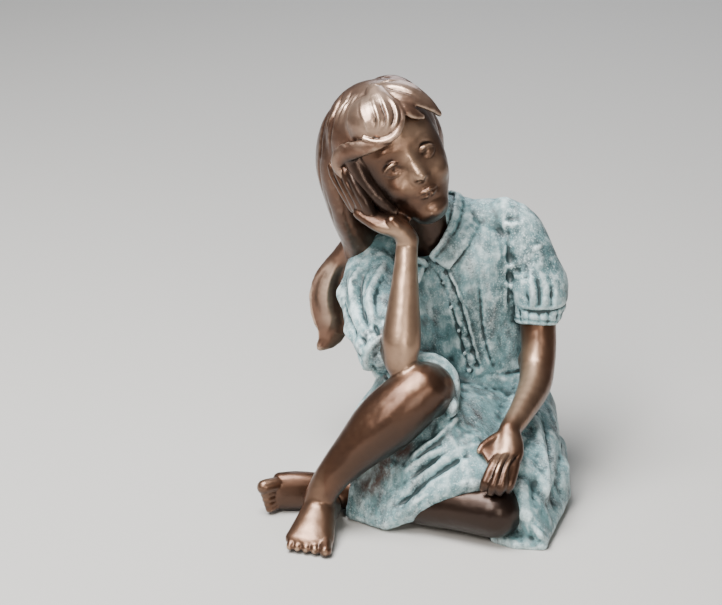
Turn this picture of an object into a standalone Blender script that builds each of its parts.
"""Seated girl with her cheek on her hand: a small garden bronze, cast in one piece.

The figure faces -Y and rests on the plane z = 0. Every place and thickness is laid out on a grid
in which the figure is GRID_HEIGHT units tall, and UNIT turns that grid into metres.
"""

import math

import bmesh
import bpy
import numpy as np
from mathutils import Matrix, Vector

HEIGHT = 0.200
GRID_HEIGHT = 192.92
UNIT = HEIGHT / GRID_HEIGHT
MIDDLE = (-6.89, -31.21)

# How the cast is fused and thinned
BASE_VOXEL = 1.5
CAST_VOXEL = 0.9
BASE_SMOOTHING = 6
CAST_TRIANGLES = 9700

# Bare bronze under a verdigris that also lies in every recess
BRONZE_COLOUR = (0.155, 0.088, 0.058, 1.0)
BRONZE_ROUGHNESS = 0.38

# Joints of the pose, in grid units
HIP_RIGHT = (-8.0, 2.0, 22.0)
KNEE_RIGHT = (-3.0, -68.0, 64.5)
ANKLE_RIGHT = (-51.0, -77.0, 14.0)
HIP_LEFT = (38.0, 2.0, 20.0)
KNEE_LEFT = (31.5, -90.0, 14.0)
ANKLE_LEFT = (-41.0, -56.0, 9.5)
SHOULDER_RIGHT = (-27.0, 2.0, 98.0)
ELBOW_RIGHT = (-14.5, -62.0, 77.0)
WRIST_RIGHT = (-11.6, -43.0, 125.0)
SHOULDER_LEFT = (43.0, -5.0, 118.0)
ELBOW_LEFT = (48.0, -28.0, 57.0)
WRIST_LEFT = (33.5, -70.0, 45.0)
HEAD = (-16.0, -22.0, 158.5)
HEAD_ROLL = -25.0
HEAD_YAW = 20.0
HEAD_PITCH = -6.0

# Radii of the small parts, from knuckle to tip or from wrist to rim, in grid units
LEFT_FINGER = (2.5, 2.35, 1.9)
RIGHT_FINGER = (2.8, 2.5, 2.1)
LEFT_THUMB = (3.2, 2.9, 2.2)
RIGHT_THUMB = (3.4, 3.0, 2.5)
BIG_TOE = 2.9
LITTLE_TOE = 1.8
LEFT_CUFF = (10.0, 10.7, 10.4)
RIGHT_CUFF = (12.0, 12.2, 11.6)
BUTTON = (1.5, 1.3, 1.5)

# Width and thickness of the two collar rings
COLLAR_BAND = (3.4, 1.5)
COLLAR_FLAT = (4.8, 1.6)

HEAD_FRAME = (
    Matrix.Translation(HEAD)
    @ Matrix.Rotation(math.radians(HEAD_ROLL), 4, "Y")
    @ Matrix.Rotation(math.radians(HEAD_YAW), 4, "Z")
    @ Matrix.Rotation(math.radians(HEAD_PITCH), 4, "X")
)
IN_PLACE = Matrix.Identity(4)


def object_from(bm, name):
    mesh = bpy.data.meshes.new(name)
    bm.to_mesh(mesh)
    bm.free()
    made = bpy.data.objects.new(name, mesh)
    bpy.context.scene.collection.objects.link(made)
    return made


def smooth_rows(rows, steps):
    """Rows of numbers with Catmull-Rom rows between them."""
    rows = np.array(rows, float)
    ends = np.vstack([2 * rows[0] - rows[1], rows, 2 * rows[-1] - rows[-2]])
    made = []
    for i in range(len(rows) - 1):
        a, b, c, d = ends[i : i + 4]
        for t in np.arange(steps) / steps:
            made.append(
                0.5 * (2 * b + (c - a) * t + (2 * a - 5 * b + 4 * c - d) * t**2
                       + (3 * b - a - 3 * c + d) * t**3)
            )
    made.append(rows[-1])
    return np.array(made)


def limb(name, stations, side=(1, 0, 0), core=None, sides=20, steps=5, cap=1.0, frame=IN_PLACE):
    """A closed tube through stations of (x, y, z, half width, half depth), with domed ends.

    The half width lies along side, or where a core is given, the half depth points away from it.
    A station of four numbers is round.
    """
    rows = smooth_rows([s if len(s) == 5 else (*s, s[3]) for s in stations], steps)
    tangents = np.gradient(rows[:, :3], axis=0)
    tangents /= np.linalg.norm(tangents, axis=1)[:, None]
    dome = [math.radians(angle) for angle in (25, 50, 72)] if cap else []
    rings = [(row[:3], t, *row[3:]) for row, t in zip(rows, tangents)]
    for end, outward in ((0, -1), (-1, 1)):
        c, t, a, b = rings[end]
        reach = outward * cap * min(a, b)
        round_end = [(c + t * reach * math.sin(k), t, a * math.cos(k), b * math.cos(k)) for k in dome]
        rings = round_end[::-1] + rings if end == 0 else rings + round_end
    tips = [
        rows[end, :3] + outward * tangents[end] * cap * min(rows[end, 3:])
        for end, outward in ((0, -1), (-1, 1))
    ]
    bm = bmesh.new()
    last = len(rings) + 1
    bmesh.ops.create_uvsphere(bm, u_segments=sides, v_segments=last, radius=1)
    for vertex in bm.verts:
        level = round(math.acos(max(-1, min(1, vertex.co.z))) / math.pi * last)
        if level in (0, last):
            vertex.co = frame @ Vector(tips[0 if level == 0 else 1])
            continue
        c, t, a, b = rings[level - 1]
        across = np.cross(t, c - np.array(core)) if core else np.array(side) - np.dot(side, t) * t
        across /= np.linalg.norm(across)
        angle = math.atan2(vertex.co.y, vertex.co.x)
        vertex.co = frame @ Vector(
            c + across * a * math.cos(angle) + np.cross(t, across) * b * math.sin(angle)
        )
    bmesh.ops.recalc_face_normals(bm, faces=bm.faces)
    return object_from(bm, name)


def blob(name, centre, radii, frame=IN_PLACE, turn=(0, 0, 0)):
    """An ellipsoid."""
    bm = bmesh.new()
    turned = [Matrix.Rotation(math.radians(a), 4, axis) for a, axis in zip(turn, "XYZ")]
    place = frame @ Matrix.Translation(centre) @ turned[2] @ turned[1] @ turned[0]
    bmesh.ops.create_icosphere(
        bm, subdivisions=4, radius=1, matrix=place @ Matrix.Diagonal((*radii, 1))
    )
    return object_from(bm, name)


def stretch(name, balls, frame=IN_PLACE):
    """Cloth pulled taut over balls of (x, y, z, radius): their convex hull."""
    bm = bmesh.new()
    for x, y, z, radius in balls:
        place = frame @ Matrix.Translation((x, y, z))
        bmesh.ops.create_icosphere(bm, subdivisions=2, radius=radius, matrix=place)
    hull = bmesh.ops.convex_hull(bm, input=bm.verts)
    inside = {g for key in ("geom_interior", "geom_unused") for g in hull[key]}
    bmesh.ops.delete(bm, geom=[g for g in inside if isinstance(g, bmesh.types.BMVert)], context="VERTS")
    bmesh.ops.recalc_face_normals(bm, faces=bm.faces)
    return object_from(bm, name)


def fuse(name, pieces, voxel, smoothing):
    """One closed skin over the pieces."""
    bm = bmesh.new()
    for piece in pieces:
        bm.from_mesh(piece.data)
        bpy.data.objects.remove(piece)
    made = object_from(bm, name)
    remesh = made.modifiers.new("One skin", "REMESH")
    remesh.mode = "VOXEL"
    remesh.voxel_size = voxel
    relax = made.modifiers.new("Soft joins", "SMOOTH")
    relax.factor = 0.5
    relax.iterations = smoothing
    return applied(made)


def applied(obj):
    """The object with its modifiers made real."""
    bpy.context.view_layer.update()
    graph = bpy.context.evaluated_depsgraph_get()
    mesh = bpy.data.meshes.new_from_object(obj.evaluated_get(graph))
    obj.modifiers.clear()
    obj.data = mesh
    return obj


def head_and_neck():
    return [
        blob("cranium", (0, 5, 6), (21, 25, 25), HEAD_FRAME),
        limb(
            "face",
            [(0, -3, 12, 20, 17), (0, -4, 2, 20, 17), (0, -5, -8, 19.3, 16),
             (0, -7, -18, 16, 13.5), (0, -10.5, -27, 9.5, 8.5)],
            frame=HEAD_FRAME,
            cap=0.7,
        ),
        limb("neck", [(4, -2, 104, 13), (-3, -8, 120, 12), (-9, -13, 135, 12.5)]),
    ]


def arms():
    return [
        limb(
            "right_upper_arm",
            [(*SHOULDER_RIGHT, 11), (-24, -32, 87, 10.5), (*ELBOW_RIGHT, 9)],
        ),
        limb(
            "right_forearm",
            [(-14.5, -63, 75.5, 7.5), (-14.3, -60, 84, 10.2), (-13.4, -55, 98, 9.2),
             (-12.3, -49, 113, 6.6), (*WRIST_RIGHT, 5.2)],
        ),
        limb(
            "left_upper_arm",
            [(*SHOULDER_LEFT, 9), (48.5, -17, 82, 8.6), (*ELBOW_LEFT, 8.2)],
        ),
        limb(
            "left_forearm",
            [(*ELBOW_LEFT, 8), (46.5, -41, 53.5, 8), (40.5, -56, 49.5, 6.5), (*WRIST_LEFT, 5.2)],
        ),
        limb(
            "right_palm",
            [(-11.4, -43.5, 126, 5.2, 5.2), (-15, -43, 131, 6.5, 4.6), (-23, -40, 133.5, 8, 4.2),
             (-31, -36, 137, 7.5, 3.6)],
            side=(0, 1, 0.2),
        ),
        limb(
            "left_palm",
            [(33.5, -70, 45, 5, 4.8), (32, -74, 41.5, 7, 4.4), (30, -79, 36.5, 8.6, 3.8),
             (28.5, -83, 33, 8, 3.2)],
            side=(1, 0, 0),
        ),
    ]


def digit(name, joints, radii):
    return limb(name, [(*joint, radius) for joint, radius in zip(joints, radii)], sides=12)


def fingers():
    """Fingers and thumbs, each from its knuckle to its tip."""
    left = (
        ((23.8, -80, 36), (21.8, -87, 33.5), (21, -92.5, 28.5)),
        ((27.2, -81, 36.8), (26, -89, 33.5), (25.3, -95, 27.5)),
        ((31, -81, 36.8), (30.8, -89.5, 33), (30.2, -95, 27)),
        ((34.6, -79.5, 35.5), (35.5, -87, 32.5), (35, -92, 27.5)),
    )
    right = (
        ((-27, -40, 137), (-30.5, -39.5, 146), (-32.5, -37, 154)),
        ((-30.5, -38.5, 137.5), (-35, -37, 147), (-37.5, -34, 156)),
        ((-33.5, -35.5, 138), (-38.5, -33, 147.5), (-41.5, -29.5, 156)),
        ((-35, -32, 138.5), (-40.5, -29, 146.5), (-43.5, -25.5, 153)),
    )
    made = [digit(f"left_finger_{i}", joints, LEFT_FINGER) for i, joints in enumerate(left)]
    made.append(digit("left_thumb", ((30, -72, 42.5), (24, -76, 41.5), (20, -80, 39.5)), LEFT_THUMB))
    made += [digit(f"right_finger_{i}", joints, RIGHT_FINGER) for i, joints in enumerate(right)]
    made.append(digit("right_thumb", ((-14, -46, 129), (-18, -47, 134), (-19.5, -46.5, 139)), RIGHT_THUMB))
    return made


def legs():
    return [
        limb("right_thigh", [(*HIP_RIGHT, 17), (-6, -36, 43, 16.5), (-3, -60, 60, 13.5),
                             (*KNEE_RIGHT, 12.3)]),
        limb(
            "right_shin",
            [(*KNEE_RIGHT, 12), (-13, -70, 52, 13), (-27, -73, 37, 11.8), (-41, -76, 23, 8.3),
             (*ANKLE_RIGHT, 7)],
        ),
        limb(
            "right_foot",
            [(-48, -68, 7, 7.5, 7), (-50.5, -78, 9, 8, 9), (-53, -89, 6.5, 9.8, 6.4),
             (-55, -97, 4, 11.3, 4.2)],
        ),
        limb("left_thigh", [(*HIP_LEFT, 18), (37, -45, 19, 17), (*KNEE_LEFT, 13)]),
        limb(
            "left_shin",
            [(*KNEE_LEFT, 13), (14, -84, 13, 12.5), (-10, -72, 11.5, 10.5), (-28, -62, 10, 8),
             (*ANKLE_LEFT, 7)],
        ),
        limb(
            "left_foot",
            [(-36, -57, 9, 8, 7), (-47, -55, 9, 7.5, 6.5), (-60, -54.5, 9, 8.5, 6), (-69, -54, 9, 9.5, 4.8)],
            side=(0, 0, 1),
        ),
    ]


def toes():
    """Five toes a foot, the big toe first."""
    made = []
    for i in range(5):
        across = i / 4
        size = BIG_TOE - (BIG_TOE - LITTLE_TOE) * across ** 0.5
        made.append(
            limb(
                f"right_toe_{i}",
                [(-47.5 - 15 * across, -95, 4, size), (-47 - 16.5 * across, -103.5 + 5 * across, 2.9, size)],
                sides=12,
            )
        )
        made.append(
            limb(
                f"left_toe_{i}",
                [(-68, -54, 16 - 13.5 * across, size), (-77.5 + 5 * across, -53, 16.5 - 14 * across, size)],
                sides=12,
            )
        )
    return made


def bodice():
    facing = (math.cos(math.radians(12)), -math.sin(math.radians(12)), 0)
    return [
        limb(
            "bodice",
            [(22, 1, 44, 30, 23), (21, 0, 54, 28.5, 20.5), (17, -1, 72, 29.5, 20.5), (13, -2, 90, 31.5, 21.5),
             (9.5, -2, 103, 32, 20), (6, -1, 114, 25, 15.5), (3, -2, 121, 14, 12.5)],
            side=facing,
            sides=32,
        ),
        limb("left_yoke", [(5, -1, 116, 11), (22, -1, 118.5, 10.5), (36, -3, 119, 9)]),
        limb(
            "left_sleeve",
            [(35, -3, 121, 8), (42, -6, 115, 10.5), (46.5, -11, 101, 12.3), (48.8, -15, 88, 13.6),
             (49.2, -18, 79, 11.6)],
        ),
        limb(
            "right_sleeve",
            [(-17, 2, 106, 10), (-25, -2, 99, 14), (-27, -16, 91, 16), (-24, -32, 83, 15.5),
             (-21, -45, 76, 12.5)],
        ),
    ]


def collar():
    """A standing band round the neck and a flat collar below it, both open at the front."""
    band = [(1, -20, 107.5), (6, -18.5, 114), (10.5, -14, 122), (13, -5, 127.5), (13, 4, 129.5),
            (6.5, 10, 129), (-3, 11, 125), (-10, 6, 119), (-13.5, -2, 114), (-12.5, -10, 110),
            (-8, -16.5, 107), (-3, -19.5, 106)]
    flat = [(5, -22, 105.5), (11.5, -20, 113), (18, -13, 121), (20, -2, 126.5), (17, 8, 127), (8, 14.5, 125),
            (-4, 15, 119), (-13, 9.5, 112), (-18.5, 0, 106), (-17.5, -10, 103), (-12, -17.5, 101.5),
            (-5, -21, 101)]
    return [
        limb("collar_band", [(*p, *COLLAR_BAND) for p in band], core=(1, -4, 118), sides=12, steps=2),
        limb("collar_flat", [(*p, *COLLAR_FLAT) for p in flat], core=(3, -2, 85), sides=12, steps=2),
    ]


def cuffs():
    made = []
    for name, middles, radii in (
        ("left_cuff", ((49.3, -19, 76.5), (49, -20.5, 73), (48.6, -22, 69)), LEFT_CUFF),
        ("right_cuff", ((-20, -47, 76), (-18, -52, 75), (-17, -55, 74)), RIGHT_CUFF),
    ):
        made.append(limb(name, [(*middle, radius) for middle, radius in zip(middles, radii)], cap=0.1))
    return made


def skirt():
    return [
        limb(
            "seat",
            [(20, 8, 0, 42, 35), (20, 7, 12, 41.5, 36), (20, 5, 30, 36, 31), (20, 2, 44, 30, 24)],
            sides=32,
            cap=0.1,
        ),
        limb("skirt_right_thigh", [(-6, 2, 26, 22), (-7, -32, 46, 20), (-4.5, -60, 61, 15.5)], cap=0.0),
        limb("skirt_left_thigh", [(38, 2, 22, 23), (38, -40, 20, 21), (34, -76, 17, 17.5)], cap=0.2),
        stretch(
            "lap",
            [(0, -20, 46, 6), (32, -20, 38, 6), (2, -65, 50, 5), (31, -80, 24, 5), (-35, -64, 3, 3),
             (-21, -73, 3, 3), (-6, -80, 14, 3), (20, -87, 22, 3.5), (0, 0, 3, 3), (30, 0, 3, 3),
             (30, -80, 4, 3)],
        ),
        stretch(
            "outer_fall",
            [(-14, -62, 66, 5), (-28, -55, 46, 3), (-50, -26, 4, 3), (-36, 12, 5, 5), (-16, 4, 40, 6),
             (-10, -50, 4, 3)],
        ),
        stretch(
            "ground_fall",
            [(40, -84, 18, 5), (48, -95, 3, 2.5), (60, -50, 5, 5), (59, -10, 10, 8), (40, -40, 30, 6),
             (34, -88, 4, 3)],
        ),
        stretch("under_knee", [(24, -94, 0, 2.2), (47, -96, 1.5, 2.2), (36, -80, 3, 3)]),
    ]


def hair():
    return [
        blob("hair_cap", (-1, 9, 8), (25.5, 27, 27.5), HEAD_FRAME),
        blob("forelock", (-5, -7.5, 20), (14, 11.5, 12), HEAD_FRAME),
        limb(
            "hair_right_side",
            [(-38, -6, 176, 6, 13), (-44, -8, 166, 8, 15), (-47, -8, 150, 8, 16), (-43, -6, 132, 8, 16),
             (-36, 0, 116, 8, 14), (-30, 8, 100, 8, 12)],
        ),
        limb(
            "hair_between",
            [(-31, 0, 168, 13, 14), (-32, 3, 148, 13, 14), (-29, 7, 127, 13, 12), (-26, 14, 105, 12, 9)],
        ),
        limb(
            "hair_left_side",
            [(18, -3, 14, 5.5, 9), (19.8, 2, 2, 4, 9), (18, 7, -12, 4, 8), (11, 12, -26, 6, 6)],
            frame=HEAD_FRAME,
        ),
        limb("cheek_lock", [(-20, -7, 9, 4.5), (-20.5, -8, -2, 4.5), (-18.5, -9, -11, 4.2),
                            (-16, -10, -19, 3.2)], frame=HEAD_FRAME),
        limb(
            "hair_back",
            [(-19, -4, 174, 16, 16), (-18, 5, 160, 23, 17), (-15, 12, 140, 22, 14), (-13, 17, 120, 21, 10.5),
             (-16, 22, 100, 21, 8), (-24, 24, 82, 19, 6.5), (-33, 23, 66, 13, 4.5), (-37, 21, 57, 7, 3)],
        ),
        limb(
            "flicked_lock",
            [(-34, 8, 108, 5, 7), (-40, 12, 96, 7, 6), (-46.5, 14, 84, 8.5, 4.5), (-48, 15, 72, 8, 4),
             (-47, 14, 61, 5.5, 3.5), (-50.5, 12, 53, 2.2, 2)],
        ),
    ]


def locks():
    """The fringe, the big swoop with its rim and the lock that curls over the ear, laid on the cap."""
    paths = {
        "swoop": [(3, -8, 31, 4, 2.5), (0, -15, 26.5, 7, 3), (-2.5, -19.5, 20, 8, 3),
                  (-6, -19.5, 15, 5.5, 2.4)],
        "swoop_rim": [(3.6, -14.5, 28, 1.6, 1.6), (6, -19, 22.4, 2, 1.9), (4.5, -21.8, 17.2, 2.1, 2),
                      (0, -23, 13.2, 2.1, 2), (-5.2, -22.5, 11.8, 2, 1.9),
                      (-10.3, -20.8, 13.4, 1.9, 1.8), (-14.3, -18, 17, 1.4, 1.4)],
        "cap_lock_1": [(0, -6, 32.5, 3, 2), (-7, -12, 29.5, 4, 2.4), (-11.5, -15.5, 24, 3.6, 2.2),
                       (-13.5, -16, 18.5, 1.8, 1.5)],
        "cap_lock_2": [(-3, -3, 33, 3, 2), (-11, -7, 30, 4, 2.4), (-17, -9.5, 24, 3.8, 2.4),
                       (-20, -9.5, 17, 2, 1.6)],
        "ear_curl": [(-5, -22.3, 10.8, 1.8, 1.2), (-12.9, -19.8, 13, 2.8, 2),
                     (-19.4, -13, 14.5, 3.3, 2.6), (-24, -6, 14, 3.4, 2.8),
                     (-26.8, -2, 11, 3, 2.6), (-27.3, -3.5, 6, 2, 2)],
        "fringe_high": [(4, -5, 32, 3, 2), (10.5, -11.5, 28, 4.6, 2.4), (16, -15, 22, 4.6, 2.4),
                        (20.5, -13.5, 15, 3.2, 2), (23, -10.5, 8.5, 1.4, 1.4)],
        "fringe_low": [(5, -13.5, 26.5, 1.6, 1.4), (8.4, -19, 20.5, 2.8, 1.9),
                       (11, -19.5, 15.5, 2.6, 1.7), (14.5, -17, 12, 1.2, 1.2)],
    }
    return [limb(name, path, core=(0, 8, 6), sides=14, frame=HEAD_FRAME) for name, path in paths.items()]


def buttons():
    """Small domes down the front of the bodice."""
    places = ((5.2, -22.2, 99), (8.4, -22.8, 88), (11.4, -22.4, 77), (14.4, -21.2, 66), (16.8, -20.6, 55))
    return [blob(f"button_{i}", place, BUTTON) for i, place in enumerate(places)]


def soft_bump(x, z, centre, spread):
    return np.exp(-(((x - centre[0]) / spread[0]) ** 2) - ((z - centre[1]) / spread[1]) ** 2)


def face_relief(x, z):
    """How far the face stands out in front of its plain mask, at x across and z up."""
    aside = np.abs(x)
    mask = 1.3 * soft_bump(aside, z, (11, -11), (6, 6))
    mask += 0.9 * soft_bump(aside, z, (9, 6.5), (7, 2.4))
    mask -= 3.2 * soft_bump(aside, z, (8, -1.5), (5.6, 4.2))
    mask += 2.6 * soft_bump(aside, z, (8.2, -2.2), (3.6, 2.6))
    mask += 2.0 * np.exp(-((x / 2.4) ** 2)) / (1 + np.exp((z - 3) / 2.0)) / (1 + np.exp((-12.5 - z) / 0.8))
    mask += 4.6 * soft_bump(x, z, (0, -10), (2.9, 3.2))
    mask += 1.8 * soft_bump(aside, z, (3.2, -11.5), (1.7, 1.7))
    mask += 1.7 * soft_bump(x, z, (0, -18.5), (7, 5.5))
    mask += 1.1 * soft_bump(x, z, (0, -17.2), (4.5, 1.3))
    mask += 1.4 * soft_bump(x, z, (0, -20.6), (4.0, 1.3))
    mask -= 1.1 * soft_bump(x, z, (0, -18.9), (5.6, 0.7))
    mask -= 0.9 * soft_bump(x, z, (0, -23.6), (5, 1.5))
    mask += 1.5 * soft_bump(x, z, (0, -27.5), (5, 3.2))
    return mask


def places_and_normals(mesh):
    places = np.empty(len(mesh.vertices) * 3, np.float32)
    normals = np.empty(len(mesh.vertices) * 3, np.float32)
    mesh.vertices.foreach_get("co", places)
    mesh.vertices.foreach_get("normal", normals)
    return places.reshape(-1, 3).astype(float), normals.reshape(-1, 3).astype(float)


def set_places(mesh, places):
    mesh.vertices.foreach_set("co", places.astype(np.float32).ravel())
    mesh.update()


def model_face(girl):
    """Moves the front of the head out or in by the face's relief."""
    places, normals = places_and_normals(girl.data)
    inverse = np.array(HEAD_FRAME.inverted())
    own = places @ inverse[:3, :3].T + inverse[:3, 3]
    facing = -(normals @ inverse[:3, :3].T)[:, 1]
    on_face = (own[:, 1] < -9) & (own[:, 1] > -24) & (np.abs(own[:, 0]) < 19) & (np.abs(own[:, 2] + 8) < 24)
    weight = on_face * np.clip(facing * 2.0, 0, 1)
    forward = -np.array(HEAD_FRAME)[:3, 1]
    set_places(girl.data, places + (weight * face_relief(own[:, 0], own[:, 2]))[:, None] * forward)


def carve(girl, strokes):
    """Raises a ridge along each stroke of (height, half width, points), a groove if height is below 0."""
    places, normals = places_and_normals(girl.data)
    moved = places.copy()
    for height, half_width, points in strokes:
        path = smooth_rows(points, 5)
        reach = 2.6 * half_width
        near = np.all((places > path.min(0) - reach) & (places < path.max(0) + reach), axis=1).nonzero()[0]
        best = np.full(len(near), np.inf)
        along = np.zeros(len(near))
        for i, (a, b) in enumerate(zip(path[:-1], path[1:])):
            t = np.clip((places[near] - a) @ (b - a) / np.dot(b - a, b - a), 0, 1)
            gap = np.linalg.norm(places[near] - a - t[:, None] * (b - a), axis=1)
            closer = gap < best
            best[closer] = gap[closer]
            along[closer] = (i + t[closer]) / (len(path) - 1)
        ends = np.clip(np.minimum(along, 1 - along) * 5, 0, 1)
        moved[near] += normals[near] * (height * ends * np.exp(-((best / half_width) ** 2)))[:, None]
    set_places(girl.data, moved)


def in_head(points):
    return [tuple(HEAD_FRAME @ Vector(p)) for p in points]


def strand_strokes():
    """Grooves that part the hair into strands, over the crown, down the side and down the back."""
    cap = [
        [(4, -5, 34), (5.5, -9.5, 30), (6.8, -14.5, 25.5)],
        [(-6, 9, 35), (-13, 5, 32), (-20, 3, 26), (-25.5, 4, 17), (-28.5, 6, 8)],
        [(-3, 4, 35.5), (-10, -1.5, 32.5), (-16, -6, 28), (-20.5, -7, 22)],
        [(-8, 18, 34), (-17, 15, 30), (-25, 13, 21), (-30, 13, 9)],
        [(0, 22, 35), (-8, 27, 31), (-16, 29, 23), (-22, 29, 12)],
        [(6, 22, 34), (6, 31, 26), (3, 36, 14)],
        [(12, 18, 32), (17, 25, 24), (17, 31, 12)],
        [(12, 8, 32), (20, 12, 24), (23.5, 16, 12)],
        [(10, -2, 31), (18, -4, 25), (23, -3, 16)],
    ]
    made = [(-1.5, 1.5, in_head(path)) for path in cap]
    for k in range(5):
        share = (k - 2) / 2.4
        made.append(
            (
                -1.7,
                2.0,
                [(-19 + 15 * share, 20, 168), (-15 + 19 * share, 26, 142), (-13 + 18 * share, 28, 120),
                 (-16 + 18 * share, 30, 100), (-25 + 15 * share, 31, 80), (-34 + 8 * share, 28, 64)],
            )
        )
    for k in range(3):
        made.append(
            (-1.6, 2.0, [(-52 + 2 * k, -14 + 9 * k, 166), (-54.5 + 2 * k, -14 + 9 * k, 150),
                         (-50 + 2 * k, -12 + 9 * k, 132), (-40, -4 + 8 * k, 112)])
        )
    return made


def skirt_strokes():
    """Taut folds over the lap, soft folds down the sides and back, and the raised hem."""
    made = [
        (2.4, 2.4, [(28, -62, 43), (16, -77, 38), (3, -79, 30), (-14, -77, 19), (-32, -68, 6)]),
        (2.2, 2.2, [(24, -48, 43), (10, -70, 44), (-3, -73, 34), (-18, -70, 20), (-35, -66, 6)]),
        (-1.6, 2.0, [(22, -60, 43), (8, -76, 39), (-6, -76, 28), (-22, -72, 14)]),
        (1.8, 2.2, [(7, -69, 62), (6, -69, 54), (-2, -71, 41), (-16, -68, 27), (-30, -66, 12)]),
        (1.8, 1.8, [(3, -55, 72), (9, -58, 67), (9.5, -68, 62), (6, -68, 52)]),
        (1.6, 1.8, [(-30, -70, 5), (-13, -80, 15), (-8, -81.5, 19), (3, -82, 24), (14, -85, 27),
                    (24, -86, 29)]),
        (1.6, 1.8, [(37, -90, 25), (39, -96, 20), (43, -96, 13), (48, -96, 4)]),
        (1.8, 3.0, [(42, -30, 42), (47, -60, 34), (48, -82, 18), (52, -84, 5)]),
        (-1.8, 2.6, [(50, -30, 36), (53, -60, 24), (57, -70, 6)]),
        (1.8, 3.0, [(54, -8, 38), (58, -36, 26), (62, -50, 6)]),
        (-1.4, 2.2, [(18, -22, 51), (30, -22, 52), (42, -17, 52), (49, -4, 52), (46, 12, 51),
                     (30, 22, 50), (10, 20, 50)]),
    ]
    for k in range(9):
        turn = math.radians(-25 + 26 * k)
        across, back = math.cos(turn), math.sin(turn)
        height = 1.9 if k % 2 else -1.9
        made.append(
            (
                height,
                3.0,
                [(20 + 29 * across, 3 + 24 * back, 44), (20 + 36 * across, 5 + 31 * back, 28),
                 (20 + 42 * across, 7 + 36 * back, 12), (20 + 43 * across, 8 + 36 * back, 2)],
            )
        )
    made += [
        (2.0, 2.6, [(-20, -50, 60), (-34, -30, 34), (-46, -14, 6)]),
        (-1.8, 2.6, [(-20, -30, 54), (-33, -14, 32), (-42, 0, 6)]),
        (1.8, 2.8, [(-18, -10, 46), (-29, 0, 28), (-36, 10, 6)]),
    ]
    return made


def bodice_strokes():
    """The buttoned band, the long seam, and the gathers of the sleeves."""
    made = [
        (-1.2, 1.1, [(-1.6, -18.2, 106.2), (3.8, -22.5, 99), (8.5, -23.8, 87.4), (12.4, -21.5, 74.3),
                     (15.3, -20.5, 63), (18.3, -20.3, 52)]),
        (-1.0, 1.1, [(4.2, -19, 107.5), (9.2, -22.6, 99), (13.9, -23.4, 87.3), (17.4, -22, 74.5),
                     (20.4, -21, 63), (23.2, -20.5, 53)]),
        (-1.0, 1.2, [(20, -21, 111), (22.1, -23.6, 90), (23.8, -22, 74.5), (26.8, -21, 61.7),
                     (30.3, -20, 53)]),
        (-1.9, 2.2, [(32, -8, 127), (33.5, -14, 118), (34.5, -18, 104), (36, -21, 90), (38.5, -22, 78)]),
        (-1.6, 2.0, [(-8, -17, 104), (-12, -20, 97), (-13, -24, 88), (-11, -32, 78)]),
    ]
    for x, height in ((40, 1.5), (44.5, -1.5), (49, 1.5), (53.5, -1.4)):
        made.append((height, 2.2, [(x - 3, -16, 112), (x, -24, 98), (x, -29, 86), (x - 1, -28, 79)]))
    for k, height in enumerate((1.7, -1.7, 1.7, -1.5)):
        made.append((height, 2.6, [(-29 - 2 * k, -12 + 3 * k, 106 - 4 * k),
                                   (-34 - 2 * k, -27 + 2 * k, 97 - 4 * k),
                                   (-32 - k, -44 + k, 86 - 4 * k)]))
    return made


def hand_strokes():
    """Grooves between the fingers."""
    made = [(-1.1, 1.0, [(x, -78, 38.5), (x - 0.6, -86, 36.5), (x - 0.8, -92, 31)]) for x in (25.3, 29.2, 33)]
    for a, b in (((-29, -41, 137), (-35, -39.5, 155)), ((-32.5, -39, 138), (-39.8, -34.5, 155)),
                 ((-35.5, -35.5, 139), (-43, -29, 153))):
        made.append((-1.1, 1.0, [a, tuple(np.add(a, b) / 2), b]))
    return made


def cast():
    """The whole figure in one skin."""
    groups = [
        fuse("flesh", head_and_neck() + arms() + legs(), BASE_VOXEL, BASE_SMOOTHING),
        fuse("dress", bodice() + skirt(), BASE_VOXEL, BASE_SMOOTHING),
        fuse("hair", hair(), BASE_VOXEL, BASE_SMOOTHING),
    ]
    details = fingers() + toes() + collar() + cuffs() + buttons() + locks()
    girl = fuse("girl_figure", groups + details, CAST_VOXEL, 2)
    model_face(girl)
    carve(girl, strand_strokes() + skirt_strokes() + bodice_strokes() + hand_strokes())
    return girl


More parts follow.
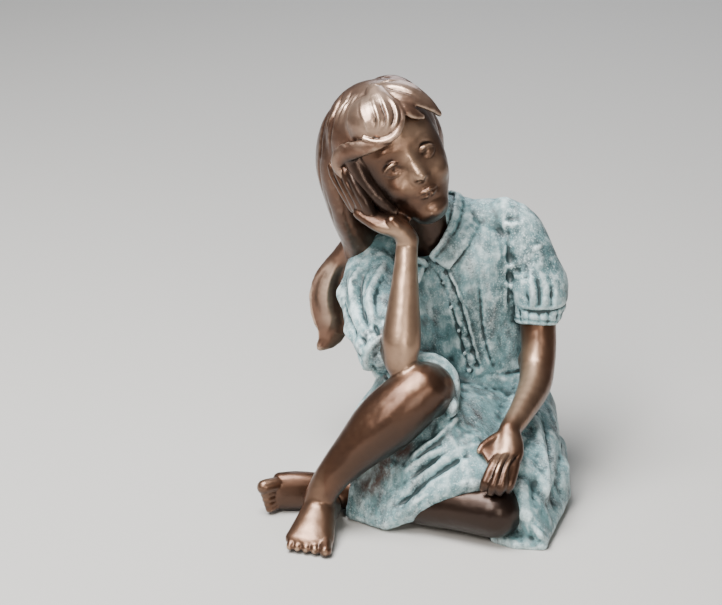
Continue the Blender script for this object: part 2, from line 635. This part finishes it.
def flatten_underside(girl):
    """Cuts the cast off flat where it rests."""
    bm = bmesh.new()
    bm.from_mesh(girl.data)
    cut = bmesh.ops.bisect_plane(
        bm, geom=bm.verts[:] + bm.edges[:] + bm.faces[:], plane_co=(0, 0, 0), plane_no=(0, 0, 1),
        clear_inner=True
    )
    bmesh.ops.holes_fill(bm, edges=[g for g in cut["geom_cut"] if isinstance(g, bmesh.types.BMEdge)])
    bmesh.ops.recalc_face_normals(bm, faces=bm.faces)
    bm.to_mesh(girl.data)
    bm.free()


def new_collection(name):
    made = bpy.data.collections.new(name)
    bpy.context.scene.collection.children.link(made)
    return made


def bronze():
    made = bpy.data.materials.new("patinated_bronze")
    made.use_nodes = True
    surface = made.node_tree.nodes["Principled BSDF"]
    surface.inputs["Base Color"].default_value = BRONZE_COLOUR
    surface.inputs["Metallic"].default_value = 1.0
    surface.inputs["Roughness"].default_value = BRONZE_ROUGHNESS
    return made


def keep_outer_skin(girl):
    """Drops the closed bubbles that fusing left inside the cast."""
    bm = bmesh.new()
    bm.from_mesh(girl.data)
    unseen = set(bm.verts)
    skins = []
    while unseen:
        skin, edge = set(), {next(iter(unseen))}
        while edge:
            skin |= edge
            edge = {e.other_vert(v) for v in edge for e in v.link_edges} - skin
        unseen -= skin
        skins.append(skin)
    skins.sort(key=len)
    bmesh.ops.delete(bm, geom=[v for skin in skins[:-1] for v in skin], context="VERTS")
    bm.to_mesh(girl.data)
    bm.free()


def rest_on_ground(girl):
    """Turns the grid into metres, with the middle of the underside at the origin."""
    places = places_and_normals(girl.data)[0]
    places = (places - (*MIDDLE, 0)) * UNIT
    low, high = places.min(0), places.max(0)
    set_places(girl.data, places - (*(low + high)[:2] / 2, low[2]))


def main():
    for obj in list(bpy.data.objects):
        bpy.data.objects.remove(obj)
    figure = new_collection("bronze_girl_statue")
    girl = cast()
    keep_outer_skin(girl)
    thin = girl.modifiers.new("Thin", "DECIMATE")
    thin.ratio = CAST_TRIANGLES / (2 * len(girl.data.polygons))
    girl = applied(girl)
    flatten_underside(girl)
    rest_on_ground(girl)
    girl.data.materials.append(bronze())
    girl.data.shade_smooth()
    bpy.context.scene.collection.objects.unlink(girl)
    figure.objects.link(girl)


main()
